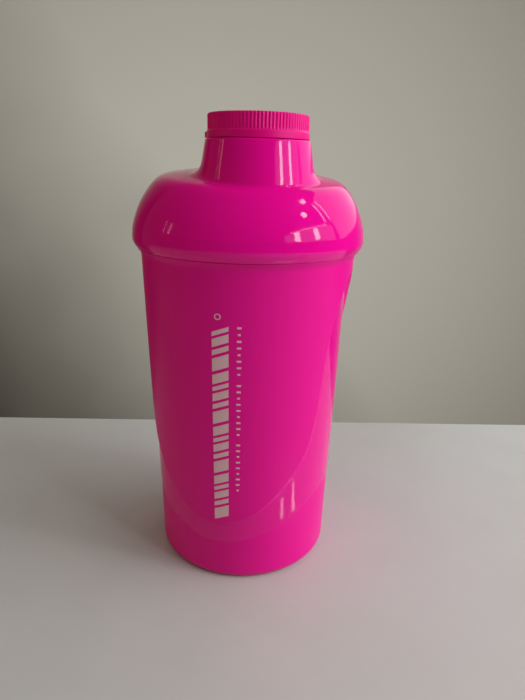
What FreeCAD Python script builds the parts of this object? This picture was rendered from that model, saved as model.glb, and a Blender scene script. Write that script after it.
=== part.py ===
import FreeCAD, Part

import math
import os

import Sketcher
from FreeCAD import Placement, Rotation, Vector

# Protein shaker bottle in millimetres: a tapered cup with a wave-edged grip, a domed screw lid
# with an off-centre spout tower, and a small ribbed screw cap, with their seals and strainer.
# The origin is the centre of the foot, +Z is up, and the spout leans towards -Y.

SIZES = {
    # Cup: side, foot, collar, neck and the tapered bore.
    "base_radius": 38.2,
    "base_round": 4.0,
    "foot_ring": 32.0,
    "foot_recess": 1.0,
    "floor_top": 3.2,
    "side_arc": 5400.0,
    "side_top_radius": 44.15,
    "collar_bottom": 134.8,
    "collar_radius": 45.7,
    "collar_top": 138.0,
    "collar_arc": 5.0,
    "neck_radius": 42.4,
    "rim_height": 149.5,
    "bore_top_radius": 40.8,
    "bore_waist_height": 110.0,
    "bore_waist_radius": 39.6,
    "bore_low_radius": 36.8,
    "bore_round": 5.0,
    # Grip: the polished band between two waves, and the base below it.
    "grip_arc": 4300.0,
    "grip_low_height": 10.0,
    "grip_low_radius": 38.35,
    "grip_high_radius": 41.5,
    "base_band_height": 60.0,
    "base_band_radius": 39.55,
    "cutter_radius": 45.2,
    "wave_inner": 36.0,
    "wave_outer": 46.0,
    "panel_azimuth": -16.5,
    "lower_wave_trough": 19.0,
    "lower_wave_rise": 19.0,
    # Screw threads: lead is the rise in one turn, of two starts.
    "starts": 2,
    "lid_lead": 10.0,
    "lid_thread_width": 2.2,
    "lid_thread_crest": 1.2,
    "lid_thread_depth": 1.1,
    "lid_thread_height": 140.3,
    "lid_thread_turns": 0.7,
    "cap_lead": 6.4,
    "cap_thread_width": 1.3,
    "cap_thread_crest": 0.7,
    "cap_thread_depth": 1.0,
    "cap_thread_height": 181.4,
    "cap_thread_turns": 0.45,
    "thread_root": 0.4,
    # Lid: skirt, band, shoulder, tilted crown and the seat of the sealing ring.
    "lid_wall": 1.8,
    "skirt_bottom": 138.4,
    "skirt_radius": 46.0,
    "skirt_bore": 43.9,
    "skirt_arc": 6.0,
    "band_bottom": 142.0,
    "band_radius": 47.7,
    "band_top": 146.0,
    "shoulder_radius": 47.4,
    "shoulder_arc": 38.0,
    "shoulder_end_radius": 31.2,
    "shoulder_end_height": 170.0,
    "crown_arc": 200.0,
    "crown_centre_height": -30.35,
    "crown_shift": 13.4,
    "crest_round": 5.0,
    "seat_height": 151.2,
    "seat_thickness": 2.0,
    "seat_bore": 40.1,
    "cavity_foot_radius": 42.27,
    "cavity_foot_height": 154.5,
    "cavity_end_radius": 29.24,
    "cavity_end_height": 169.0,
    # Spout tower and the threaded spout on it.
    "spout_shift": 15.3,
    "spout_azimuth": 11.0,
    "tower_foot_radius": 23.35,
    "tower_foot_height": 158.0,
    "tower_top_radius": 19.75,
    "tower_top_height": 179.5,
    "tower_round": 2.0,
    "tower_edge": 0.8,
    "spout_radius": 15.2,
    "spout_bore": 13.2,
    "spout_top": 185.6,
    # Spout cap.
    "cap_radius": 18.85,
    "cap_band_radius": 19.2,
    "cap_bottom": 180.1,
    "cap_band_top": 182.4,
    "cap_top": 188.2,
    "cap_edge": 0.6,
    "cap_bore": 16.7,
    "cap_ceiling": 186.6,
    "cap_dish_radius": 15.5,
    "cap_dish_depth": 0.4,
    "rib_count": 84,
    "rib_depth": 0.35,
    "lug_width": 2.4,
    "lug_reach": 0.6,
    # Sealing ring, liner and strainer.
    "gasket_bottom": 149.6,
    "gasket_top": 151.1,
    "gasket_inner": 40.7,
    "gasket_outer": 43.6,
    "liner_bottom": 185.7,
    "liner_top": 186.5,
    "liner_radius": 16.2,
    "sieve_bottom": 148.2,
    "sieve_plate": 1.6,
    "sieve_top": 153.0,
    "sieve_radius": 39.8,
    "sieve_rim": 1.6,
    "sieve_hole_radius": 1.7,
    "sieve_hole_step": 5.2,
    "sieve_field_radius": 35.0,
}

# The upper wave, over a quarter of the way round: degrees from the middle of a panel, and height.
# It dips under each panel and climbs steeply beside it to a crest over each grip.
UPPER_WAVE = [(0, 28), (23, 33), (40.5, 44.5), (55.5, 58.5), (62, 77), (66, 99), (70.5, 111.5),
              (78, 122.5), (90, 129)]
LOWER_WAVE_STEP = 15

doc = FreeCAD.newDocument("ProteinShaker")
sheet = doc.addObject("Spreadsheet::Sheet", "Sizes")


def fill_sheet():
    for row, (name, size) in enumerate(SIZES.items(), start=1):
        sheet.set(f"A{row}", name)
        sheet.set(f"B{row}", str(size))
        sheet.setAlias(f"B{row}", name)
    doc.recompute()


def value(text):
    """The number that a sum such as "rim_height - 2*lid_wall" has with the sheet's sizes."""
    total = 0.0
    sign = 1.0
    for word in text.split():
        if word in ("+", "-"):
            sign = 1.0 if word == "+" else -1.0
            continue
        factor, _, name = word.rpartition("*")
        amount = float(sheet.get(name)) if name[0].isalpha() else float(name)
        total += sign * amount * (float(factor) if factor else 1.0)
    return total


def expression(text):
    """The same sum as an expression on the sheet's cells."""
    words = []
    for word in text.split():
        factor, star, name = word.rpartition("*")
        if name[0].isalpha():
            name = "Sizes." + name
        words.append(factor + star + name)
    return " ".join(words)


def bind(thing, prop, text):
    thing.setExpression(prop, expression(text))


def bind_place(thing, x="0", y="0", z="0"):
    for axis, text in zip("xyz", (x, y, z)):
        if text != "0":
            bind(thing, "Placement.Base." + axis, text)


def origin_feature(body, role):
    return next(item for item in body.Origin.OriginFeatures if item.Role == role)


def arc_between(start, end, radius, side):
    """The minor arc from start to end. It bulges to the right of the way there if side is 1."""
    chord = end - start
    depth = math.sqrt(radius ** 2 - (chord.Length / 2) ** 2)
    centre = (start + end) / 2 + Vector(-chord.y, chord.x, 0).normalize() * depth * side
    first, last = (start, end) if side > 0 else (end, start)
    angles = [math.atan2(place.y - centre.y, place.x - centre.x) for place in (first, last)]
    if angles[1] < angles[0]:
        angles[1] += 2 * math.pi
    return Part.ArcOfCircle(Part.Circle(centre, Vector(0, 0, 1), radius), *angles)


def pin_point(sketch, index, end, x_text, y_text):
    """Fix one end of a line or an arc at a place given by sums of the sheet's sizes."""
    for kind, axis, text in (("DistanceX", -2, x_text), ("DistanceY", -1, y_text)):
        if text == "0":
            sketch.addConstraint(Sketcher.Constraint("PointOnObject", index, end, axis))
            continue
        number = sketch.addConstraint(Sketcher.Constraint(kind, index, end, value(text)))
        sketch.setExpression(f"Constraints[{number}]", expression(text))


def draw_outline(sketch, steps):
    """Draw a closed outline. A step is (x, y) for a line to it, or (x, y, radius, side) for an arc."""
    places = [Vector(value(step[0]), value(step[1]), 0) for step in steps]
    ends = []
    for index, step in enumerate(steps):
        start = places[index - 1]
        end = places[index]
        if len(step) == 2:
            sketch.addGeometry(Part.LineSegment(start, end))
            ends.append((1, 2))
        else:
            sketch.addGeometry(arc_between(start, end, value(step[2]), step[3]))
            ends.append((1, 2) if step[3] > 0 else (2, 1))
    for index, step in enumerate(steps):
        before = (index - 1) % len(steps)
        joint = ("Coincident", before, ends[before][1], index, ends[index][0])
        sketch.addConstraint(Sketcher.Constraint(*joint))
        pin_point(sketch, index, ends[index][1], step[0], step[1])
        if len(step) == 4:
            number = sketch.addConstraint(Sketcher.Constraint("Radius", index, value(step[2])))
            sketch.setExpression(f"Constraints[{number}]", expression(step[2]))


def turned_body(label, steps):
    """A body of revolution about Z, from its half section in the XZ plane."""
    body = doc.addObject("PartDesign::Body", label)
    body.Label = label
    sketch = body.newObject("Sketcher::SketchObject", label + "_section")
    sketch.AttachmentSupport = [(origin_feature(body, "XZ_Plane"), "")]
    sketch.MapMode = "FlatFace"
    draw_outline(sketch, steps)
    turn = body.newObject("PartDesign::Revolution", label + "_turn")
    turn.Profile = sketch
    turn.ReferenceAxis = (sketch, ["V_Axis"])
    turn.Angle = 360.0
    doc.recompute()
    return body


def boolean(kind, label, *things):
    """A Part::Cut or Part::Common of two objects, or a Part::MultiFuse of any number."""
    result = doc.addObject("Part::" + kind, label)
    if kind == "MultiFuse":
        result.Shapes = list(things)
    else:
        result.Base, result.Tool = things
    result.Label = label
    doc.recompute()
    return result


def spout_axis():
    angle = math.radians(value("spout_azimuth"))
    return Vector(math.sin(angle), -math.cos(angle), 0) * value("spout_shift")


def wave_edge(label, radius, heights):
    """A closed wavy line round Z, through (degrees, height) points at one radius."""
    points = []
    for degrees, height in heights:
        angle = math.radians(degrees + value("panel_azimuth"))
        points.append(Vector(radius * math.sin(angle), -radius * math.cos(angle), height))
    curve = Part.BSplineCurve()
    curve.interpolate(Points=points, PeriodicFlag=True)
    edge = doc.addObject("Part::Feature", label)
    edge.Shape = curve.toShape()
    return edge


def below_wave(label, heights):
    """The space below a wave: the ruled surface through it, pushed down past the foot."""
    surface = doc.addObject("Part::RuledSurface", label + "_surface")
    surface.Curve1 = (wave_edge(label + "_inner", value("wave_inner"), heights), ["Edge1"])
    surface.Curve2 = (wave_edge(label + "_outer", value("wave_outer"), heights), ["Edge1"])
    space = doc.addObject("Part::Extrusion", label)
    space.Base = surface
    space.DirMode = "Custom"
    space.Dir = Vector(0, 0, -1)
    space.Solid = True
    bind(space, "LengthFwd", "rim_height")
    doc.recompute()
    return space


def upper_wave_heights():
    """The quarter wave mirrored about the crest and the trough, for two panels and two grips."""
    half = UPPER_WAVE + [(180 - degrees, height) for degrees, height in reversed(UPPER_WAVE[1:-1])]
    return half + [(degrees + 180, height) for degrees, height in half]


def lower_wave_heights():
    trough = value("lower_wave_trough")
    rise = value("lower_wave_rise")
    return [(degrees, trough + rise * math.sin(math.radians(degrees)) ** 2)
            for degrees in range(0, 360, LOWER_WAVE_STEP)]


def thread_ridges(label, axis, family, surface, outward, first_angle, lower=0.0):
    """The ridges of a two-start thread on a cylinder of radius surface, outward or inward."""
    lead = value(family + "_lead")
    turns = value(family + "_thread_turns")
    depth = value(family + "_thread_depth") * outward
    root = value("thread_root") * outward
    half_width = value(family + "_thread_width") / 2
    half_crest = value(family + "_thread_crest") / 2
    height = value(family + "_thread_height") - lower + lead * first_angle / 360
    ridges = []
    for start in range(int(value("starts"))):
        turn = Rotation(Vector(0, 0, 1), first_angle + 360 * start / value("starts"))
        place = Placement(Vector(axis.x, axis.y, height), turn)
        helix = doc.addObject("Part::Helix", f"{label}_helix_{start}")
        helix.Pitch = lead
        helix.Height = lead * turns
        helix.Radius = value(surface)
        helix.Placement = place
        section = doc.addObject("Part::Polygon", f"{label}_section_{start}")
        section.Nodes = [Vector(value(surface) - root, 0, -half_width),
                         Vector(value(surface) + depth, 0, -half_crest),
                         Vector(value(surface) + depth, 0, half_crest),
                         Vector(value(surface) - root, 0, half_width)]
        section.Close = True
        section.Placement = place
        ridge = doc.addObject("Part::Sweep", f"{label}_{start}")
        ridge.Sections = [section]
        ridge.Spine = (helix, ["Edge1"])
        ridge.Solid = True
        ridge.Frenet = True
        ridges.append(ridge)
    doc.recompute()
    return ridges


def make_cup():
    blank = turned_body("cup_blank", [
        ("0", "foot_recess"),
        ("foot_ring - foot_recess", "foot_recess"),
        ("foot_ring", "0"),
        ("base_radius - base_round", "0"),
        ("base_radius", "base_round", "base_round", 1),
        ("side_top_radius", "collar_bottom", "side_arc", 1),
        ("collar_radius", "collar_top", "collar_arc", -1),
        ("neck_radius", "collar_top"),
        ("neck_radius", "rim_height"),
        ("bore_top_radius", "rim_height"),
        ("bore_top_radius", "collar_bottom"),
        ("bore_waist_radius", "bore_waist_height"),
        ("bore_low_radius", "floor_top + bore_round"),
        ("bore_low_radius - bore_round", "floor_top", "bore_round", 1),
        ("0", "floor_top"),
    ])
    grip_ring = turned_body("grip_ring", [
        ("cutter_radius", "grip_low_height"),
        ("cutter_radius", "collar_bottom"),
        ("grip_high_radius", "collar_bottom"),
        ("grip_low_radius", "grip_low_height", "grip_arc", -1),
    ])
    base_ring = turned_body("base_ring", [
        ("cutter_radius", "base_round"),
        ("cutter_radius", "base_band_height"),
        ("base_band_radius", "base_band_height"),
        ("base_radius", "base_round"),
    ])
    grip = boolean("Common", "grip_cut", grip_ring, below_wave("upper_wave", upper_wave_heights()))
    base = boolean("Common", "base_cut", base_ring, below_wave("lower_wave", lower_wave_heights()))
    shell = boolean("Cut", "cup_with_grip", blank, grip)
    shell = boolean("Cut", "cup_with_base", shell, base)
    ridges = thread_ridges("cup_thread", Vector(), "lid", "neck_radius", 1, 0)
    return boolean("MultiFuse", "cup", shell, *ridges)


def dome(label, steps, wall="0"):
    """A turned shoulder closed by the tilted crown: a large ball whose centre is set back."""
    blank = turned_body(label + "_blank", steps)
    ball = doc.addObject("Part::Sphere", label + "_crown")
    bind(ball, "Radius", "crown_arc - " + wall)
    centre = spout_axis().normalize() * -value("crown_shift")
    ball.Placement.Base = Vector(centre.x, centre.y, 0)
    bind_place(ball, z="crown_centre_height")
    return boolean("Common", label, blank, ball)


def spout_piece(kind, label, height, **sizes):
    """A Part::Cone or Part::Cylinder on the spout's axis, standing at a height."""
    piece = doc.addObject("Part::" + kind, label)
    piece.Placement.Base = spout_axis()
    bind_place(piece, z=height)
    for prop, text in sizes.items():
        bind(piece, prop, text)
    doc.recompute()
    return piece


def rounded(label, base, radius_name, chosen):
    """A Part::Fillet of the edges of base that the test chosen picks out."""
    radius = value(radius_name)
    edges = [number for number, edge in enumerate(base.Shape.Edges, start=1) if chosen(edge)]
    fillet = doc.addObject("Part::Fillet", label)
    fillet.Base = base
    fillet.Edges = [(number, radius, radius) for number in edges]
    doc.recompute()
    return fillet


def is_crest(edge):
    """The edge where the shoulder meets the crown: it is not a level circle."""
    box = edge.BoundBox
    return box.ZMin > value("tower_foot_height") and box.ZLength > 0.1 and box.XLength > 20


def is_tower_foot(edge):
    box = edge.BoundBox
    tall = value("band_top") < box.ZMin and box.ZMax < value("tower_top_height") - 1
    narrow = box.XLength < 2 * value("tower_foot_radius") + 1
    return tall and narrow and box.ZLength > 0.1 and box.XLength > value("tower_foot_radius")


def is_tower_top(edge):
    box = edge.BoundBox
    return abs(box.ZMin - value("tower_top_height")) < 0.01 and box.ZLength < 0.01


def make_lid():
    outside = dome("lid_outside", [
        ("0", "skirt_bottom"),
        ("skirt_radius", "skirt_bottom"),
        ("band_radius", "band_bottom", "skirt_arc", 1),
        ("shoulder_radius", "band_top"),
        ("shoulder_end_radius", "shoulder_end_height", "shoulder_arc", 1),
        ("0", "shoulder_end_height + lid_wall"),
    ])
    crested = rounded("lid_crested", outside, "crest_round", is_crest)
    tower = spout_piece(
        "Cone", "tower", "tower_foot_height", Radius1="tower_foot_radius",
        Radius2="tower_top_radius", Height="tower_top_height - tower_foot_height")
    towered = boolean("MultiFuse", "lid_towered", crested, tower)
    footed = rounded("lid_footed", towered, "tower_round", is_tower_foot)
    edged = rounded("lid_edged", footed, "tower_edge", is_tower_top)
    spout = spout_piece("Cylinder", "spout_tube", "tower_top_height - lid_wall",
                        Radius="spout_radius", Height="spout_top - tower_top_height + lid_wall")
    cavity = dome("lid_cavity", [
        ("0", "collar_bottom"),
        ("skirt_bore", "collar_bottom"),
        ("skirt_bore", "seat_height"),
        ("seat_bore", "seat_height"),
        ("seat_bore", "seat_height + seat_thickness"),
        ("cavity_foot_radius", "cavity_foot_height"),
        ("cavity_end_radius", "cavity_end_height", "shoulder_arc - lid_wall", 1),
        ("0", "cavity_end_height + lid_wall"),
    ], "lid_wall")
    tower_cavity = spout_piece(
        "Cone", "tower_cavity", "tower_foot_height", Radius1="tower_foot_radius - lid_wall",
        Radius2="tower_top_radius - lid_wall",
        Height="tower_top_height - tower_foot_height - lid_wall")
    bore = spout_piece("Cylinder", "spout_bore", "tower_foot_height", Radius="spout_bore",
                       Height="spout_top - tower_foot_height")
    hollow = boolean("MultiFuse", "lid_hollow", cavity, tower_cavity, bore)
    solid = boolean("MultiFuse", "lid_solid", edged, spout)
    shell = boolean("Cut", "lid_shell", solid, hollow)
    skirt_ridges = thread_ridges("lid_thread", Vector(), "lid", "skirt_bore", -1, 90,
                                 value("lid_lead") / 4)
    spout_ridges = thread_ridges("spout_thread", spout_axis(), "cap", "spout_radius", 1, 0)
    return boolean("MultiFuse", "lid", shell, *skirt_ridges, *spout_ridges)


def toothed_ring(label):
    """The ribbed part of the cap's outside: a prism whose outline has a fine tooth at each rib."""
    count = int(value("rib_count"))
    radii = (value("cap_radius"), value("cap_radius") - value("rib_depth"))
    points = []
    for number in range(2 * count):
        angle = math.pi * number / count
        points.append(Vector(math.cos(angle), math.sin(angle), 0) * radii[number % 2])
    outline = Part.makePolygon(points + points[:1])
    height = value("cap_top") - value("cap_band_top")
    ring = doc.addObject("Part::Feature", label)
    ring.Shape = Part.Face(outline).extrude(Vector(0, 0, height))
    ring.Placement.Base = spout_axis() + Vector(0, 0, value("cap_band_top"))
    return ring


def make_spout_cap():
    outside = turned_body("cap_outside", [
        ("0", "cap_band_top"),
        ("cap_radius + rib_depth", "cap_band_top"),
        ("cap_radius + rib_depth", "cap_top - cap_edge"),
        ("cap_radius - cap_edge", "cap_top"),
        ("cap_dish_radius", "cap_top"),
        ("cap_dish_radius - cap_dish_depth", "cap_top - cap_dish_depth"),
        ("0", "cap_top - cap_dish_depth"),
    ])
    band = turned_body("cap_band", [
        ("0", "cap_bottom"),
        ("cap_band_radius", "cap_bottom"),
        ("cap_band_radius", "cap_band_top - rib_depth"),
        ("cap_radius", "cap_band_top"),
        ("0", "cap_band_top"),
    ])
    inside = turned_body("cap_inside", [
        ("0", "tower_top_height"),
        ("cap_bore", "tower_top_height"),
        ("cap_bore", "cap_ceiling"),
        ("0", "cap_ceiling"),
    ])
    for piece in (outside, band, inside):
        piece.Placement.Base = spout_axis()
    doc.recompute()
    ribbed = boolean("Common", "cap_ribbed", outside, toothed_ring("cap_teeth"))
    lug = doc.addObject("Part::Box", "cap_lug")
    bind(lug, "Length", "cap_band_radius")
    bind(lug, "Width", "lug_width")
    bind(lug, "Height", "cap_band_top - cap_bottom - 2*rib_depth")
    corner = spout_axis() - Vector(value("cap_band_radius + lug_reach"), value("0.5*lug_width"), 0)
    lug.Placement.Base = Vector(corner.x, corner.y, value("cap_bottom"))
    solid = boolean("MultiFuse", "cap_solid", ribbed, band, lug)
    shell = boolean("Cut", "cap_shell", solid, inside)
    ridges = thread_ridges("cap_thread", spout_axis(), "cap", "cap_bore", -1, 90,
                           value("cap_lead") / 4)
    return boolean("MultiFuse", "spout_cap", shell, *ridges)


def make_sieve():
    tray = turned_body("sieve_tray", [
        ("0", "sieve_bottom"),
        ("sieve_radius", "sieve_bottom"),
        ("sieve_radius", "sieve_top"),
        ("sieve_radius - sieve_rim", "sieve_top"),
        ("sieve_radius - sieve_rim", "sieve_bottom + sieve_plate"),
        ("0", "sieve_bottom + sieve_plate"),
    ])
    step = value("sieve_hole_step")
    reach = int(value("sieve_field_radius") / step) + 2
    pins = []
    for row in range(-reach, reach + 1):
        for column in range(-reach, reach + 1):
            place = Vector(step * (column + row / 2), step * row * math.sqrt(3) / 2,
                           value("skirt_bottom"))
            if math.hypot(place.x, place.y) < value("sieve_field_radius"):
                pins.append(Part.makeCylinder(value("sieve_hole_radius"),
                                              value("sieve_top - skirt_bottom"), place))
    holes = doc.addObject("Part::Feature", "sieve_holes")
    holes.Shape = Part.makeCompound(pins)
    return boolean("Cut", "mixing_sieve", tray, holes)


def make_gasket():
    return turned_body("lid_gasket", [
        ("gasket_inner", "gasket_bottom"),
        ("gasket_outer", "gasket_bottom"),
        ("gasket_outer", "gasket_top"),
        ("gasket_inner", "gasket_top"),
    ])


def make_liner():
    return spout_piece("Cylinder", "cap_liner", "liner_bottom", Radius="liner_radius",
                       Height="liner_top - liner_bottom")


def check_document(pieces):
    """Stop before anything is written if an object failed or a piece is not one sound solid."""
    failed = [item.Label for item in doc.Objects
              if "Invalid" in item.State or "Error" in item.State]
    if failed:
        raise RuntimeError("these objects failed: " + ", ".join(failed))
    for piece in pieces:
        shape = piece.Shape
        if shape.isNull() or not shape.isValid() or len(shape.Solids) != 1:
            raise RuntimeError(piece.Label + " is not one valid solid")


def write_pieces(pieces):
    os.makedirs("parts", exist_ok=True)
    for piece in pieces:
        piece.Shape.exportStep(os.path.join("parts", piece.Label + ".step"))
        print(f"{piece.Label}: {piece.Shape.Volume / 1000:.2f} cm3")


fill_sheet()
finished = [make_cup(), make_lid(), make_spout_cap(), make_sieve(), make_gasket(), make_liner()]
doc.recompute()
check_document(finished)
write_pieces(finished)
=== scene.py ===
import math

import bpy
import numpy as np
from mathutils import Matrix, Vector


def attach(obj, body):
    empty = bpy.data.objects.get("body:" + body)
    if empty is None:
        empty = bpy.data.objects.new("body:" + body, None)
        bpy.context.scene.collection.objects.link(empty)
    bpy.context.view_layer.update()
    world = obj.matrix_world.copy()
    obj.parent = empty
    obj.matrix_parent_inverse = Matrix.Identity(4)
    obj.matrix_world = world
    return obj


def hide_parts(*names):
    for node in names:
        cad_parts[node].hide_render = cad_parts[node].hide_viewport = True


# Looks of the protein shaker bottle. Shapes are worked out in millimetres and stored in metres.
# An azimuth is measured from -Y towards +X, as seen from above.

MM = 0.001
SPOUT_AZIMUTH = math.radians(11.0)
SPOUT = 15.3 * np.array([math.sin(SPOUT_AZIMUTH), -math.cos(SPOUT_AZIMUTH)])
PANEL_AZIMUTH = math.radians(-16.5)

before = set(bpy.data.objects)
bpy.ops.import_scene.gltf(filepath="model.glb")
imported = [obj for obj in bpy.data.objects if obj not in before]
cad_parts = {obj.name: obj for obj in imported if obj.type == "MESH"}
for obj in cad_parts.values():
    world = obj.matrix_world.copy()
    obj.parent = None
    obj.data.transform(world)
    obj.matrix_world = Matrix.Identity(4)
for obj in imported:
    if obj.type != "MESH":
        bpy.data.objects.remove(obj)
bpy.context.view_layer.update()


# ---------------------------------------------------------------- outlines

def smooth_step(x):
    """0 below -1, 1 above 1, and a smooth rise between."""
    t = np.clip((np.asarray(x, float) + 1) / 2, 0, 1)
    return t * t * (3 - 2 * t)


def arc_centre(start, end, radius, side):
    """Centre of the minor arc that bulges to the right of the way from start to end if side is 1."""
    start, end = np.array(start, float), np.array(end, float)
    chord = end - start
    length = np.linalg.norm(chord)
    normal = np.array([-chord[1], chord[0]]) / length
    return (start + end) / 2 + normal * math.sqrt(radius ** 2 - (length / 2) ** 2) * side


def arc_points(start, end, radius, side, count):
    """count points along an arc, without its first end."""
    centre = arc_centre(start, end, radius, side)
    first = math.atan2(start[1] - centre[1], start[0] - centre[0])
    last = math.atan2(end[1] - centre[1], end[0] - centre[0])
    turn = (last - first + math.pi) % (2 * math.pi) - math.pi
    angles = first + turn * np.arange(1, count + 1) / count
    return [(centre[0] + radius * math.cos(a), centre[1] + radius * math.sin(a)) for a in angles]


def rounded_path(corners, step=1.0, round_steps=4):
    """Points (r, z) along straight runs. A corner (r, z, round) is eased over that length."""
    places = [np.array(corner[:2], float) for corner in corners]
    rounds = [corner[2] if len(corner) > 2 else 0.0 for corner in corners]
    path = [tuple(places[0])]
    for index in range(1, len(places)):
        here, last = places[index], np.array(path[-1])
        way = (here - places[index - 1]) / np.linalg.norm(here - places[index - 1])
        stop = here - way * rounds[index]
        count = max(1, int(round(np.linalg.norm(stop - last) / step)))
        path += [tuple(last + (stop - last) * k / count) for k in range(1, count + 1)]
        if rounds[index] and index + 1 < len(places):
            ahead = places[index + 1] - here
            leave = here + ahead / np.linalg.norm(ahead) * rounds[index]
            for k in range(1, round_steps + 1):
                t = k / round_steps
                bend = (1 - t) ** 2 * stop + 2 * t * (1 - t) * here + t * t * leave
                path.append(tuple(bend))
    return path


def bowed(z, low, high, radius):
    """Radius at height z of an outward-bowed side between two (r, z) ends."""
    t = (z - low[1]) / (high[1] - low[1])
    length = math.hypot(high[0] - low[0], high[1] - low[1])
    return low[0] + (high[0] - low[0]) * t + length ** 2 / (2 * radius) * t * (1 - t)


def closed_spline(points, per_span=24):
    """Points along the smooth closed curve through points."""
    p = np.asarray(points, float)
    after = np.roll(p, -1, 0)
    h = np.linalg.norm(after - p, axis=1)
    n = len(p)
    matrix = np.zeros((n, n))
    pull = np.zeros((n, 3))
    for i in range(n):
        matrix[i, i - 1] += h[i - 1]
        matrix[i, i] += 2 * (h[i - 1] + h[i])
        matrix[i, (i + 1) % n] += h[i]
        pull[i] = 6 * ((after[i] - p[i]) / h[i] - (p[i] - p[i - 1]) / h[i - 1])
    bend = np.linalg.solve(matrix, pull)
    out = []
    for i in range(n):
        s = (np.arange(per_span) / per_span * h[i])[:, None]
        m0, m1 = bend[i], bend[(i + 1) % n]
        out.append(m0 * (h[i] - s) ** 3 / (6 * h[i]) + m1 * s ** 3 / (6 * h[i])
                   + (p[i] / h[i] - m0 * h[i] / 6) * (h[i] - s)
                   + (after[i] / h[i] - m1 * h[i] / 6) * s)
    return np.concatenate(out)


# ---------------------------------------------------------------- meshes

def ring(r, z, azimuths, centre=(0.0, 0.0)):
    """A level ring of points; r and z may differ round the ring."""
    r = np.broadcast_to(r, azimuths.shape)
    z = np.broadcast_to(z, azimuths.shape)
    return np.stack([centre[0] + r * np.sin(azimuths), centre[1] - r * np.cos(azimuths), z], -1)


def rings(path, azimuths, centre=(0.0, 0.0)):
    """Level rings, one at each (r, z) of a path."""
    return [ring(r, z, azimuths, centre) for r, z in path]


def new_piece(name, verts, faces, sharp=None):
    """An object in the scene. With sharp, it is smooth except at edges over that many degrees."""
    mesh = bpy.data.meshes.new(name)
    mesh.from_pydata(verts, [], faces)
    mesh.validate()
    if sharp is not None:
        mesh.shade_smooth()
        mesh.set_sharp_from_angle(angle=math.radians(sharp))
    piece = bpy.data.objects.new(name, mesh)
    bpy.context.scene.collection.objects.link(piece)
    return piece


def skin(name, rows, poles=(None, None), closed=False):
    """A mesh over rows of points. Poles close its first and last rows; closed joins them."""
    rows = np.asarray(rows)
    m, n = rows.shape[:2]
    verts = rows.reshape(-1, 3)
    here = np.arange(m * n).reshape(m, n)
    ahead = np.roll(here, -1, 1)
    upper, upper_ahead = np.roll(here, -1, 0), np.roll(ahead, -1, 0)
    quads = np.stack([here, ahead, upper_ahead, upper], -1)
    if not closed:
        quads = quads[:-1]
    faces = quads.reshape(-1, 4).tolist()
    if poles[0] is not None:
        verts = np.vstack([verts, [poles[0]]])
        faces += [[len(verts) - 1, int(ahead[0, j]), int(here[0, j])] for j in range(n)]
    if poles[1] is not None:
        verts = np.vstack([verts, [poles[1]]])
        faces += [[len(verts) - 1, int(here[-1, j]), int(ahead[-1, j])] for j in range(n)]
    return new_piece(name, (verts * MM).tolist(), faces, sharp=32.0)


def paint(piece, *materials):
    for material in materials:
        piece.data.materials.append(material)
    return piece


def turned(name, path, azimuths, centre=(0.0, 0.0), poles=(None, None), closed=False):
    return skin(name, rings(path, azimuths, centre), poles, closed)


def circle(count):
    return np.arange(count) * 2 * math.pi / count


THREADS = {
    "lid": {"lead": 10.0, "width": 2.2, "crest": 1.2, "depth": 1.1, "height": 140.3, "turns": 0.7},
    "cap": {"lead": 6.4, "width": 1.3, "crest": 0.7, "depth": 1.0, "height": 181.4, "turns": 0.45},
}


def ridge(azimuths, z, family, first=0.0, lower=0.0):
    """Height of a two-start thread above its surface. first is its start, in degrees from +X."""
    size = THREADS[family]
    half_crest = size["crest"] / 2
    half_foot = half_crest + (size["width"] / 2 - half_crest) * size["depth"] / (size["depth"] + 0.4)
    total = np.zeros(np.broadcast(azimuths, z).shape)
    for start in (0.0, 180.0):
        turned_by = np.degrees(azimuths) - 90.0 - first - start
        t = np.mod(turned_by, 360.0) / 360.0
        middle = size["height"] - lower + size["lead"] * (first / 360.0 + t)
        profile = np.clip((half_foot - abs(z - middle)) / (half_foot - half_crest), 0, 1)
        ends = smooth_step(np.minimum(t, size["turns"] - t) / 0.012 - 1.0)
        total = np.maximum(total, profile * ends * (t < size["turns"]))
    return total * size["depth"]


# ---------------------------------------------------------------- cup

UPPER_WAVE = [(0, 28), (23, 33), (40.5, 44.5), (55.5, 58.5), (62, 77), (66, 99), (70.5, 111.5),
              (78, 122.5), (90, 129)]
BASE_LOW = (38.2, 4.0)
COLLAR_LOW = (44.15, 134.8)
COLLAR_TOP = (45.7, 138.0)
NECK = 42.4
CUP_RIM = 149.5
CUP_BORE = 40.8
CUP_FLOOR = 3.2
FOOT_RING = 34.2
FOOT_HOLLOW = 1.0


def upper_wave(azimuths):
    """Height of the wave under the panels and over the grips."""
    half = UPPER_WAVE + [(180 - d, z) for d, z in reversed(UPPER_WAVE[1:-1])]
    whole = half + [(d + 180, z) for d, z in half]
    points = [(41 * math.sin(math.radians(d)), -41 * math.cos(math.radians(d)), z) for d, z in whole]
    curve = closed_spline(points)
    angle = np.mod(np.arctan2(curve[:, 0], -curve[:, 1]), 2 * math.pi)
    order = np.argsort(angle)
    return np.interp(np.mod(azimuths - PANEL_AZIMUTH, 2 * math.pi), angle[order],
                     curve[order, 2], period=2 * math.pi)


def lower_wave(azimuths):
    return 19.0 + 19.0 * np.sin(azimuths - PANEL_AZIMUTH) ** 2


def wave_length_factor(wave, azimuths):
    """How much further it is up than straight across a wave, where it climbs."""
    step = 0.01
    rise = (wave(azimuths + step) - wave(azimuths - step)) / (2 * step * 41.0)
    return np.sqrt(1 + rise ** 2)


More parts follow.
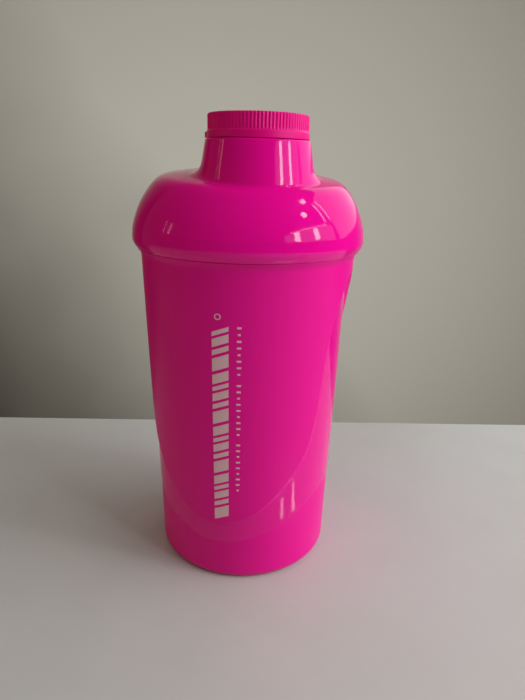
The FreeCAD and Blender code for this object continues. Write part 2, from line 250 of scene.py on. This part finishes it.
def cup_radius(azimuths, z):
    """Outside radius of the cup's side: base, polished grip band and panel."""
    base = BASE_LOW[0] + (z - BASE_LOW[1]) * 1.35 / 56.0
    band = bowed(z, (38.35, 10.0), (41.5, 134.8), 4300.0)
    panel = bowed(z, BASE_LOW, COLLAR_LOW, 5400.0)
    over_lower = (z - lower_wave(azimuths)) / wave_length_factor(lower_wave, azimuths)
    over_upper = (z - upper_wave(azimuths)) / wave_length_factor(upper_wave, azimuths)
    step_width = 0.6 + 0.45 * np.maximum(panel - band, 0)
    radius = base + smooth_step(over_lower / 0.7) * (band - base)
    return radius + smooth_step(over_upper / step_width) * (panel - band)


def levels(low, high, count):
    """count heights from low to high, without low."""
    return [low + (high - low) * k / count for k in range(1, count + 1)]


def make_cup(satin, polished):
    a = circle(320)
    low, high = lower_wave(a), upper_wave(a)
    lower_reach = 0.9 * wave_length_factor(lower_wave, a)
    upper_reach = 2.0 * wave_length_factor(upper_wave, a)
    foot = rounded_path([(6, FOOT_HOLLOW), (31, FOOT_HOLLOW, 0.4), (32, 0, 0.3), (FOOT_RING, 0)], 3.5)
    foot += arc_points((FOOT_RING, 0), BASE_LOW, 4.0, 1, 9)
    rows = rings(foot, a)
    # Rows follow both waves, so that their steps are clean. The polish ends half way over each step.
    counts = {"base": 16, "lower_step": 10, "grip": 52, "upper_step": 18, "panel": 34}
    side = levels(BASE_LOW[1], low - lower_reach, counts["base"])
    polish_from = len(rows) - 1 + len(side) + counts["lower_step"] // 2
    side += levels(low - lower_reach, low + lower_reach, counts["lower_step"])
    side += levels(low + lower_reach, high - upper_reach, counts["grip"])
    polish_to = len(rows) - 1 + len(side) + 7
    side += levels(high - upper_reach, high + upper_reach, counts["upper_step"])
    side += levels(high + upper_reach, COLLAR_LOW[1], counts["panel"])
    rows += [ring(cup_radius(a, z), z, a) for z in side]
    rows += rings(arc_points(COLLAR_LOW, COLLAR_TOP, 5.0, -1, 9)[:-1], a)
    top = COLLAR_TOP[1]
    rows += rings(rounded_path([(COLLAR_TOP[0] - 0.05, top - 0.3), (*COLLAR_TOP, 0.2), (NECK, top, 0.25),
                                (NECK, top + 0.4)], 1.5), a)
    rows += [ring(NECK + ridge(a, z, "lid"), z, a) for z in np.arange(top + 0.7, CUP_RIM - 0.5, 0.29)]
    inside = rounded_path([(NECK, CUP_RIM - 0.45), (NECK, CUP_RIM, 0.4), (CUP_BORE, CUP_RIM, 0.4),
                           (CUP_BORE, 134.8, 1), (39.6, 110.0, 1), (36.8, CUP_FLOOR + 5.0)], 4.0)
    inside += arc_points((36.8, CUP_FLOOR + 5.0), (31.8, CUP_FLOOR), 5.0, 1, 8)
    inside += rounded_path([(31.8, CUP_FLOOR), (6, CUP_FLOOR)], 6.0)[1:]
    rows += rings(inside, a)
    cup = skin("cup_body", rows, ((0, 0, FOOT_HOLLOW), (0, 0, CUP_FLOOR)))
    index = np.zeros(len(cup.data.polygons), np.int32)
    index[polish_from * len(a):polish_to * len(a)] = 1
    paint(cup, satin, polished)
    cup.data.polygons.foreach_set("material_index", index)
    return cup


PRINT_AZIMUTH = math.radians(-13.0)
PRINT_RADIUS = 41.8


def make_print(material):
    """A generic print on the panel: a column of slanted bars, a row of ticks and a small ring."""
    verts, faces = [], []

    def mark(corners, steps=(8, 4)):
        """A patch between four (across, z) corners, in mm from the panel's print line."""
        across = np.linspace(0, 1, steps[0] + 1)
        along = np.linspace(0, 1, steps[1] + 1)
        (x0, z0), (x1, z1), (x2, z2), (x3, z3) = corners
        for lift in (0.05, -0.2):
            for t in along:
                for s in across:
                    x = (x0 * (1 - s) + x1 * s) * (1 - t) + (x3 * (1 - s) + x2 * s) * t
                    z = (z0 * (1 - s) + z1 * s) * (1 - t) + (z3 * (1 - s) + z2 * s) * t
                    azimuth = PRINT_AZIMUTH + x / PRINT_RADIUS
                    r = float(cup_radius(np.array(azimuth), np.array(z))) + lift
                    verts.append((r * math.sin(azimuth) * MM, -r * math.cos(azimuth) * MM, z * MM))
        n, m = steps[0] + 1, steps[1] + 1
        first = len(verts) - 2 * n * m
        for j in range(m - 1):
            for i in range(n - 1):
                k = first + j * n + i
                faces.append((k, k + 1, k + 1 + n, k + n))
        edge = [i for i in range(n)] + [n - 1 + n * j for j in range(1, m)]
        edge += [n * m - 1 - i for i in range(1, n)] + [n * j for j in range(m - 2, 0, -1)]
        for k in range(len(edge)):
            here, there = first + edge[k], first + edge[(k + 1) % len(edge)]
            faces.append((here, here + n * m, there + n * m, there))

    print_top = 116.0
    z = 31.5
    for thick, gap in [(5.2, 1.3), (2.0, 1.2), (3.2, 1.1), (1.7, 1.1), (3.9, 1.4)] * 5:
        if z + thick > print_top - 0.5:
            break
        mark([(-3.1, z - 1.2), (3.1, z + 1.2), (3.1, z + thick + 1.2), (-3.1, z + thick - 1.2)])
        z += thick + gap
    z = 45.0
    number = 0
    while z < print_top:
        half = 0.8 if number % 3 else 0.5
        mark([(6.9 - half, z), (6.9 + half, z), (6.9 + half, z + 0.7), (6.9 - half, z + 0.7)], (4, 2))
        z += 2.6 if number % 9 != 8 else 4.6
        number += 1
    for k in range(16):
        turn, ahead = k * math.pi / 8, (k + 1) * math.pi / 8
        mark([(-0.9 + r * math.cos(t), 118.2 + r * math.sin(t))
              for r, t in ((0.85, turn), (1.2, turn), (1.2, ahead), (0.85, ahead))], (1, 1))
    return paint(new_piece("panel_print", verts, faces, sharp=40.0), material)


# ---------------------------------------------------------------- lid

# The crown is part of a ball whose centre is on the far side of the cup's axis from the spout.
CROWN = -13.4 / 15.3 * SPOUT
CROWN_HEIGHT = -30.35
SKIRT_BOTTOM = 138.12
SKIRT_BORE = 43.9
BAND_LOW = (47.7, 142.0)
SHOULDER = ((47.4, 146.0), (31.2, 170.0))
CAVITY = ((42.27, 154.5), (29.24, 169.0))
# The tower is a cone. Its foot radius is at this height, inside the dome.
TOWER_BASE = 158.0
TOWER_FOOT = 23.35
TOWER_TOP = 19.75
TOWER_HEIGHT = 179.5
SPOUT_RADIUS = 15.2
SPOUT_BORE = 13.2
SPOUT_TOP = 185.6
LID_WALL = 1.8


def dome_height(x, y, ends, arc, ball, ease):
    """Height of the shoulder arc or of the tilted crown, whichever is lower, eased between them."""
    centre = arc_centre(ends[0], ends[1], arc, 1)
    out = np.maximum(np.hypot(x, y) - centre[0], 0)
    shoulder = centre[1] + np.sqrt(np.maximum(arc ** 2 - out ** 2, 0))
    off = (x - CROWN[0]) ** 2 + (y - CROWN[1]) ** 2
    crown = CROWN_HEIGHT + np.sqrt(ball ** 2 - off)
    h = np.clip(0.5 + 0.5 * (crown - shoulder) / ease, 0, 1)
    return crown * (1 - h) + shoulder * h - ease * h * (1 - h)


def tower_foot(azimuths, foot, slope, dome):
    """Radius round the spout's axis at which the tower's cone meets the dome."""
    r = np.full(azimuths.shape, foot)
    for _ in range(30):
        x, y = SPOUT[0] + r * np.sin(azimuths), SPOUT[1] - r * np.cos(azimuths)
        r = foot - slope * (dome(x, y) - TOWER_BASE)
    return r


def plan_line(azimuths, outer, inner, s):
    """Points a share s of the way from a circle round the cup's axis to one round the spout's."""
    x = outer * np.sin(azimuths) * (1 - s) + (SPOUT[0] + inner * np.sin(azimuths)) * s
    y = -outer * np.cos(azimuths) * (1 - s) + (SPOUT[1] - inner * np.cos(azimuths)) * s
    return x, y


def dome_rows(a, foot, outside):
    """Rows from the band over shoulder and crown, then round the bend and onto the tower."""
    rim = SHOULDER[0][0]
    slope = (TOWER_FOOT - TOWER_TOP) / (TOWER_HEIGHT - TOWER_BASE)
    x1, y1 = plan_line(a, rim, foot, 1.0)
    length = np.hypot(x1 - rim * np.sin(a), y1 + rim * np.cos(a))
    # The bend at the tower's foot is tightest in front, and wide at the sides and behind.
    from_front = np.degrees(np.abs(np.arctan2(np.sin(a), np.cos(a))))
    bend = 1.5 + 4.0 * smooth_step((from_front - 62) / 32)
    stop = 1.0 - bend / length
    rows = []
    count = 72
    for k in range(1, count + 1):
        w = k / count
        s = stop * (0.45 * w * w + 0.55 * (1 - math.cos(w * math.pi / 2)))
        x, y = plan_line(a, rim, foot, s)
        rows.append(np.stack([x, y, outside(x, y)], -1))
    before = rows[-1]
    corner = ring(foot, outside(x1, y1), a, SPOUT)
    top_of_bend = corner[:, 2] + bend
    after = ring(TOWER_FOOT - slope * (top_of_bend - TOWER_BASE), top_of_bend, a, SPOUT)
    for k in range(1, 11):
        t = k / 10
        rows.append((1 - t) ** 2 * before + 2 * t * (1 - t) * corner + t * t * after)
    for z in levels(top_of_bend, TOWER_HEIGHT - 1.0, 12):
        rows.append(ring(TOWER_FOOT - slope * (z - TOWER_BASE), z, a, SPOUT))
    return rows


def hollow_rows(a):
    """Rows down the inside of the tower and of the dome, to the top of the sieve's seat."""
    within = lambda x, y: dome_height(x, y, CAVITY, 36.2, 198.2, 0.2)
    rim, low = CAVITY[0]
    slope = (TOWER_FOOT - TOWER_TOP) / (TOWER_HEIGHT - TOWER_BASE - LID_WALL)
    foot = tower_foot(a, TOWER_FOOT - LID_WALL, slope, within)
    x1, y1 = plan_line(a, rim, foot, 1.0)
    rows = []
    for z in levels(TOWER_HEIGHT - LID_WALL, within(x1, y1), 6):
        rows.append(ring(TOWER_FOOT - LID_WALL - slope * (z - TOWER_BASE), z, a, SPOUT))
    for k in range(1, 25):
        x, y = plan_line(a, rim, foot, 1 - math.sin(k / 24 * math.pi / 2))
        rows.append(np.stack([x, y, np.maximum(within(x, y), low)], -1))
    return rows


def make_lid(material):
    a = circle(360)
    outside = lambda x, y: dome_height(x, y, SHOULDER, 38.0, 200.0, 2.2)
    slope = (TOWER_FOOT - TOWER_TOP) / (TOWER_HEIGHT - TOWER_BASE)
    foot = tower_foot(a, TOWER_FOOT, slope, outside)
    edge = (46.12, SKIRT_BOTTOM + 0.38)
    rows = rings(rounded_path([(SKIRT_BORE + 0.05, SKIRT_BOTTOM), (45.98, SKIRT_BOTTOM, 0.2), edge], 0.5), a)
    rows += rings(arc_points(edge, BAND_LOW, 6.0, 1, 10), a)
    rows += rings(rounded_path([BAND_LOW, SHOULDER[0]], 0.8)[1:], a)
    rows += dome_rows(a, foot, outside)
    top = rounded_path([(TOWER_TOP + slope, TOWER_HEIGHT - 1.0), (TOWER_TOP, TOWER_HEIGHT, 0.7),
                        (SPOUT_RADIUS, TOWER_HEIGHT, 0.25), (SPOUT_RADIUS, TOWER_HEIGHT + 0.4)], 1.2, 6)
    rows += rings(top[1:], a, SPOUT)
    for z in np.arange(TOWER_HEIGHT + 0.65, SPOUT_TOP - 0.3, 0.25):
        rows.append(ring(SPOUT_RADIUS + ridge(a, z, "cap"), z, a, SPOUT))
    under = TOWER_HEIGHT - LID_WALL
    rows += rings(rounded_path([(SPOUT_RADIUS, SPOUT_TOP - 0.3), (SPOUT_RADIUS, SPOUT_TOP, 0.25),
                                (SPOUT_BORE, SPOUT_TOP, 0.4), (SPOUT_BORE, under),
                                (TOWER_TOP - LID_WALL, under)], 1.5), a, SPOUT)
    rows += hollow_rows(a)
    rows += rings(rounded_path([CAVITY[0], (40.1, 153.2), (40.1, 151.2), (SKIRT_BORE, 151.2),
                                (SKIRT_BORE, 150.9)], 1.2)[1:], a)
    for z in np.arange(150.6, 138.7, -0.3):
        rows.append(ring(SKIRT_BORE - ridge(a, z, "lid", 90.0, 2.5), z, a))
    rows.append(ring(SKIRT_BORE, SKIRT_BOTTOM + 0.18, a))
    return paint(skin("lid_body", rows, closed=True), material)


# ---------------------------------------------------------------- spout cap

CAP_RADIUS = 18.85
BAND_RADIUS = 19.2
CAP_BOTTOM = 179.72
BAND_TOP = 182.4
CAP_TOP = 188.2
CAP_CEILING = 186.6
CAP_BORE = 16.7
CAP_RIBS = 92


def make_cap(material):
    a = circle(CAP_RIBS * 8)
    tooth = 0.24 * (0.5 - 0.5 * np.cos(CAP_RIBS * a)) ** 0.8
    from_lug = np.abs(np.mod(np.degrees(a) - 270.0 + 180.0, 360.0) - 180.0)
    lug = smooth_step((3.6 - from_lug) / 0.55) * 0.6
    rows = []
    bottom = [(CAP_BORE + 0.05, CAP_BOTTOM), (BAND_RADIUS, CAP_BOTTOM, 0.15), (BAND_RADIUS, BAND_TOP - 0.7)]
    for r, z in rounded_path(bottom, 0.5):
        reach = np.clip((r - 17.5) / (BAND_RADIUS - 17.5), 0, 1)
        rows.append(ring(r + lug * reach, z, a, SPOUT))
    band = [(BAND_RADIUS, BAND_TOP - 0.62), (BAND_RADIUS, BAND_TOP - 0.35, 0.1), (CAP_RADIUS, BAND_TOP),
            (CAP_RADIUS - 0.05, BAND_TOP + 0.1)]
    rows += rings(rounded_path(band, 0.2, 3), a, SPOUT)
    edge = CAP_TOP - 0.6
    for z in np.linspace(BAND_TOP + 0.15, edge, 16):
        grow = min(1.0, (z - BAND_TOP - 0.1) / 0.35 + 0.1)
        rows.append(ring(CAP_RADIUS - tooth * grow, z, a, SPOUT))
    for k in range(1, 8):
        turn = math.pi / 2 * k / 7
        out = CAP_RADIUS - 0.6 + (0.6 - tooth) * math.cos(turn)
        rows.append(ring(out, edge + 0.6 * math.sin(turn), a, SPOUT))
    dish = rounded_path([(CAP_RADIUS - 0.6, CAP_TOP), (15.5, CAP_TOP, 0.4), (15.1, CAP_TOP - 0.4, 0.4),
                         (3.0, CAP_TOP - 0.4)], 1.2, 4)[1:]
    rows += rings(dish, a, SPOUT)
    shell = skin("cap_shell", rows, (None, (SPOUT[0], SPOUT[1], CAP_TOP - 0.4)))
    b = circle(240)
    ceiling = [(3.0, CAP_CEILING), (CAP_BORE, CAP_CEILING, 0.3), (CAP_BORE, CAP_CEILING - 0.5)]
    rows = rings(rounded_path(ceiling, 2.0), b, SPOUT)
    for z in np.arange(CAP_CEILING - 0.7, CAP_BOTTOM + 0.2, -0.25):
        rows.append(ring(CAP_BORE - ridge(b, z, "cap", 90.0, 1.6), z, b, SPOUT))
    rows.append(ring(CAP_BORE + 0.05, CAP_BOTTOM, b, SPOUT))
    inner = skin("cap_inner", rows, ((SPOUT[0], SPOUT[1], CAP_CEILING), None))
    return paint(shell, material), paint(inner, material)


def make_gasket(material):
    """Sealing ring: a flat ring with rounded edges and a raised bead round its middle."""
    path = rounded_path([(40.75, 149.75), (40.75, 149.62, 0.1), (41.5, 149.62, 0.2), (42.15, 149.6, 0.3),
                         (42.8, 149.62, 0.2), (43.55, 149.62, 0.1), (43.55, 151.08, 0.1),
                         (40.75, 151.08, 0.1), (40.75, 149.8)], 0.3, 3)
    return paint(turned("sealing_ring", path, circle(256), closed=True), material)


def make_liner(material):
    low, high = 185.72, 186.48
    path = rounded_path([(2.5, low), (13.4, low), (14.0, low + 0.13), (14.6, low), (16.15, low, 0.15),
                         (16.15, high, 0.15), (2.5, high)], 1.2, 3)
    poles = ((SPOUT[0], SPOUT[1], low), (SPOUT[0], SPOUT[1], high))
    return paint(turned("cap_seal", path, circle(192), SPOUT, poles), material)


# ---------------------------------------------------------------- materials

def node(tree, kind, **inputs):
    made = tree.nodes.new(kind)
    for name, amount in inputs.items():
        made.inputs[name.replace("_", " ")].default_value = amount
    return made


def noise(tree, size_mm, detail, stretch=None):
    """A noise of about that size, in the object's own coordinates."""
    place = tree.nodes.new("ShaderNodeTexCoord").outputs["Object"]
    if stretch:
        mapping = tree.nodes.new("ShaderNodeMapping")
        mapping.inputs["Scale"].default_value = stretch
        tree.links.new(place, mapping.inputs["Vector"])
        place = mapping.outputs["Vector"]
    texture = node(tree, "ShaderNodeTexNoise", Scale=1000.0 / size_mm, Detail=detail, Roughness=0.5)
    tree.links.new(place, texture.inputs["Vector"])
    return texture.outputs["Fac"]


def ranged(tree, source, source_range, wanted_range):
    made = tree.nodes.new("ShaderNodeMapRange")
    made.inputs["From Min"].default_value, made.inputs["From Max"].default_value = source_range
    made.inputs["To Min"].default_value, made.inputs["To Max"].default_value = wanted_range
    tree.links.new(source, made.inputs["Value"])
    return made.outputs["Result"]


def mixed(tree, share, first, second):
    made = tree.nodes.new("ShaderNodeMix")
    made.data_type = "RGBA"
    made.inputs["A"].default_value = (*first, 1)
    made.inputs["B"].default_value = (*second, 1)
    tree.links.new(share, made.inputs["Factor"])
    return made.outputs["Result"]


def new_material(name):
    material = bpy.data.materials.new(name)
    material.use_nodes = True
    return material, material.node_tree, material.node_tree.nodes["Principled BSDF"]


def moulded(name, colour, roughness, grain, grain_size, ripple, ripple_size, gloss=0.5, glow=0.0,
            patchy=0.035):
    """Moulded plastic: faint uneven colour and gloss, a fine grain and a slow ripple of the surface."""
    material, tree, shader = new_material(name)
    dull = [c * 0.94 for c in colour]
    bright = [min(1.0, c * 1.04 + 0.002) for c in colour]
    cloudy = mixed(tree, noise(tree, 38.0, 4.0, stretch=(1, 1, 0.5)), dull, bright)
    tree.links.new(cloudy, shader.inputs["Base Color"])
    uneven = ranged(tree, noise(tree, 9.0, 5.0), (0.3, 0.7), (roughness - patchy, roughness + patchy))
    tree.links.new(uneven, shader.inputs["Roughness"])
    fine = node(tree, "ShaderNodeBump", Strength=1.0, Distance=grain * MM)
    tree.links.new(noise(tree, grain_size, 2.0), fine.inputs["Height"])
    slow = node(tree, "ShaderNodeBump", Strength=1.0, Distance=ripple * MM)
    tree.links.new(noise(tree, ripple_size, 1.0), slow.inputs["Height"])
    tree.links.new(fine.outputs["Normal"], slow.inputs["Normal"])
    tree.links.new(slow.outputs["Normal"], shader.inputs["Normal"])
    shader.inputs["IOR"].default_value = 1.49
    shader.inputs["Specular IOR Level"].default_value = gloss
    if glow:
        shader.inputs["Subsurface Weight"].default_value = glow
        shader.inputs["Subsurface Radius"].default_value = (1.0, 0.12, 0.35)
        shader.inputs["Subsurface Scale"].default_value = 0.0015
    return material


PINK = (0.90, 0.0, 0.30)
cup_satin = moulded("cup_satin", PINK, 0.38, 0.010, 0.45, 0.02, 14.0, gloss=0.22)
cup_polish = moulded("cup_polished", PINK, 0.08, 0.0015, 0.8, 0.03, 11.0, gloss=0.35)
lid_gloss = moulded("lid_gloss", (0.94, 0.0, 0.315), 0.055, 0.0010, 0.8, 0.045, 9.0, gloss=0.34)
cap_satin = moulded("cap_satin", (0.90, 0.0, 0.25), 0.34, 0.008, 0.35, 0.01, 8.0, gloss=0.3)
sieve_satin = moulded("sieve_satin", (0.88, 0.0, 0.25), 0.34, 0.008, 0.4, 0.01, 8.0, gloss=0.3)
silicone = moulded("silicone", (0.78, 0.78, 0.75), 0.45, 0.006, 0.3, 0.01, 5.0, glow=0.3)
foam = moulded("liner_foam", (0.82, 0.82, 0.79), 0.6, 0.02, 0.25, 0.02, 3.0)
ink = moulded("print_ink", (0.88, 0.56, 0.62), 0.42, 0.012, 0.5, 0.004, 2.0, gloss=0.3)

# ---------------------------------------------------------------- pieces

cup = make_cup(cup_satin, cup_polish)
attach(cup, "cup")
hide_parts("cup")

panel_print = make_print(ink)
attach(panel_print, "cup")

lid = make_lid(lid_gloss)
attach(lid, "lid")
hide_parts("lid")

cap_shell, cap_inner = make_cap(cap_satin)
for part in (cap_shell, cap_inner):
    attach(part, "spout_cap")
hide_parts("spout_cap")

gasket = make_gasket(silicone)
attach(gasket, "lid_gasket")
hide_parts("lid_gasket")

liner = make_liner(foam)
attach(liner, "cap_liner")
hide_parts("cap_liner")

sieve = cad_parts["mixing_sieve"]
sieve.data.materials.clear()
sieve.data.materials.append(sieve_satin)

# ---------------------------------------------------------------- stage


def sheet_mesh(name, corners, cuts, material):
    """A flat subdivided sheet between four corners, in metres."""
    c = np.array(corners, float)
    n = cuts + 1
    share = np.linspace(0, 1, n)
    near = [c[0] * (1 - s) + c[1] * s for s in share]
    far = [c[3] * (1 - s) + c[2] * s for s in share]
    verts = [(near[i] * (1 - t) + far[i] * t).tolist() for t in share for i in range(n)]
    faces = []
    for j in range(cuts):
        for i in range(cuts):
            k = j * n + i
            faces.append((k, k + 1, k + n + 1, k + n))
    paint(new_piece(name, verts, faces), material)


def scaled_sum(tree, source, scale, rest):
    """source times scale plus rest, which is a number or another output."""
    made = tree.nodes.new("ShaderNodeMath")
    made.operation = "MULTIPLY_ADD"
    made.inputs[1].default_value = scale
    tree.links.new(source, made.inputs[0])
    if isinstance(rest, float):
        made.inputs[2].default_value = rest
    else:
        tree.links.new(rest, made.inputs[2])
    return made.outputs[0]


def wall_with_painted_shade(name, dim, light):
    """Wall colour with painted shade: darker down towards its left, with faint cloudy unevenness."""
    material, tree, shader = new_material(name)
    place = tree.nodes.new("ShaderNodeTexCoord").outputs["Object"]
    parts = tree.nodes.new("ShaderNodeSeparateXYZ")
    tree.links.new(place, parts.inputs["Vector"])
    cloud = node(tree, "ShaderNodeTexNoise", Scale=1.1, Detail=2.0)
    tree.links.new(place, cloud.inputs["Vector"])
    # Painted shade: the base colour darkens towards the wall's left and its bottom, like a dim corner.
    across = scaled_sum(tree, parts.outputs["X"], 0.35, 0.85)
    across_and_up = scaled_sum(tree, parts.outputs["Z"], 0.3, across)
    total = scaled_sum(tree, cloud.outputs["Fac"], 0.3, across_and_up)
    shade = mixed(tree, ranged(tree, total, (0.08, 0.9), (0.0, 1.0)), dim, light)
    tree.links.new(shade, shader.inputs["Base Color"])
    shader.inputs["Roughness"].default_value = 0.8
    shader.inputs["Specular IOR Level"].default_value = 0.1
    return material


table_paint = moulded("table_top", (0.60, 0.61, 0.58), 0.34, 0.002, 1.5, 0.0, 40.0, gloss=0.4, patchy=0.0)
# The backdrop's base colour carries painted shade, darker towards its lower left.
wall_painted_shade = wall_with_painted_shade("backdrop_grey", (0.093, 0.083, 0.066), (0.51, 0.50, 0.445))
TABLE_SIDE, TABLE_FRONT, TABLE_BACK = 0.7, -0.8, 0.121
sheet_mesh("table", [(-TABLE_SIDE, TABLE_FRONT, 0), (TABLE_SIDE, TABLE_FRONT, 0),
                     (TABLE_SIDE, TABLE_BACK, 0), (-TABLE_SIDE, TABLE_BACK, 0)], 8, table_paint)
sheet_mesh("table_back", [(-TABLE_SIDE, TABLE_BACK, -0.03), (-TABLE_SIDE, TABLE_BACK, 0),
                          (TABLE_SIDE, TABLE_BACK, 0), (TABLE_SIDE, TABLE_BACK, -0.03)], 2, table_paint)
sheet_mesh("backdrop", [(-5, 3, -2.5), (5, 3, -2.5), (5, 3, 4), (-5, 3, 4)], 4, wall_painted_shade)


def softbox(name, place, aim, width, height, radiance, colour):
    """A lit rectangle at a place, facing an aim, both in metres."""
    light = bpy.data.lights.new(name, "AREA")
    light.shape = "RECTANGLE"
    light.size = width
    light.size_y = height
    light.energy = math.pi * width * height * radiance
    light.color = colour
    lamp = bpy.data.objects.new(name, light)
    lamp.location = place
    lamp.rotation_euler = (Vector(aim) - Vector(place)).to_track_quat("-Z", "Y").to_euler()
    lamp.visible_camera = False
    bpy.context.scene.collection.objects.link(lamp)
    return lamp


def beside(azimuth, distance, height):
    angle = math.radians(azimuth)
    return (math.sin(angle) * distance, -math.cos(angle) * distance, height)


DAYLIGHT = (0.94, 0.96, 1.0)
WARM = (1.0, 0.74, 0.46)


def fill(*wanted):
    """A broad light that shows in no reflection."""
    softbox(*wanted).visible_glossy = False


def pane(name, azimuth, low, high, width, radiance, colour=DAYLIGHT):
    """An upright window pane 1 m away, between two heights."""
    middle = (low + high) / 2
    softbox(name, beside(azimuth, 1.0, middle), (0, 0, middle), width, high - low, radiance, colour)


def card(name, start, end, width, radiance):
    """A thin bright strip on the table that only shows as a reflection. Ends are (x, y) in metres."""
    start, end = Vector((*start, 0.0006)), Vector((*end, 0.0006))
    strip = softbox(name, (start + end) / 2, (0, 0, 1), width, (end - start).length, radiance, DAYLIGHT)
    strip.rotation_euler = (math.pi, 0, math.atan2(end[1] - start[1], end[0] - start[0]) - math.pi / 2)
    strip.visible_diffuse = False


pane("pane_near", 47, 0.36, 0.56, 0.10, 13.0)
pane("pane_far", 68, 0.36, 0.56, 0.09, 13.0)
pane("pane_small_low", 64, 0.84, 0.97, 0.11, 14.0)
pane("pane_small_high", 76, 1.18, 1.34, 0.12, 14.0)
pane("frame_line", 84, 0.60, 1.05, 0.03, 9.0)
pane("frame_line_thin", 91, 0.60, 1.05, 0.02, 9.0)
pane("sill", 62, 0.575, 0.60, 0.80, 4.5)
pane("room_glow", 62, 0.22, 0.56, 1.05, 0.85)
pane("far_left", -80, 0.34, 0.52, 0.030, 4.0, WARM)
pane("far_left_thin", -87, 0.34, 0.52, 0.012, 4.0, WARM)
softbox("room_right", beside(126, 1.6, 1.0), (0, 0, 0.15), 2.1, 1.4, 0.9, DAYLIGHT)
fill("fill_right", beside(88, 1.6, 0.42), (0, 0, 0.1), 1.2, 0.9, 3.3, DAYLIGHT)
fill("fill_top", (0.75, -0.42, 0.75), (0.0, -0.12, 0.0), 0.5, 0.5, 3.4, DAYLIGHT)
fill("fill_left", beside(-80, 1.8, 0.30), (0, 0, 0.1), 1.6, 0.7, 0.80, (1.0, 0.62, 0.22))
fill("ceiling", (0.1, -0.9, 1.9), (0.1, -0.9, 0), 3.6, 3.0, 0.36, (1.0, 0.93, 0.86))
fill("wall_wash", (0.0, 0.9, -0.1), (0.0, 3.0, -0.1), 4.0, 3.2, 1.35, (1.0, 0.99, 0.97))
card("card_near", (0.0462, -0.0567), (0.0587, -0.0674), 0.004, 5.0)
card("card_far", (0.0603, -0.0450), (0.0840, -0.0577), 0.005, 4.5)

world = bpy.data.worlds.new("soft_room")
world.use_nodes = True
world.node_tree.nodes["Background"].inputs["Color"].default_value = (1.0, 0.82, 0.66, 1)
world.node_tree.nodes["Background"].inputs["Strength"].default_value = 0.07
bpy.context.scene.world = world
bpy.context.scene.view_settings.view_transform = "Standard"

# ---------------------------------------------------------------- camera

pitch, yaw, roll = math.radians(18.17), math.radians(1.70), math.radians(1.59)
forward = Vector((math.sin(yaw) * math.cos(pitch), math.cos(yaw) * math.cos(pitch), -math.sin(pitch)))
right = Vector((math.cos(yaw), -math.sin(yaw), 0))
up = right.cross(forward)
right_rolled = right * math.cos(roll) + up * math.sin(roll)
up_rolled = up * math.cos(roll) - right * math.sin(roll)
camera_data = bpy.data.cameras.new("camera")
camera_data.sensor_fit = "AUTO"
camera_data.sensor_width = 36.0
camera_data.lens = 29.3554
camera_data.clip_start = 0.01
camera = bpy.data.objects.new("camera", camera_data)
columns = Matrix((right_rolled, up_rolled, -forward)).transposed()
camera.matrix_world = Matrix.Translation((0, -0.242, 0.1715)) @ columns.to_4x4()
bpy.context.scene.collection.objects.link(camera)
bpy.context.scene.camera = camera
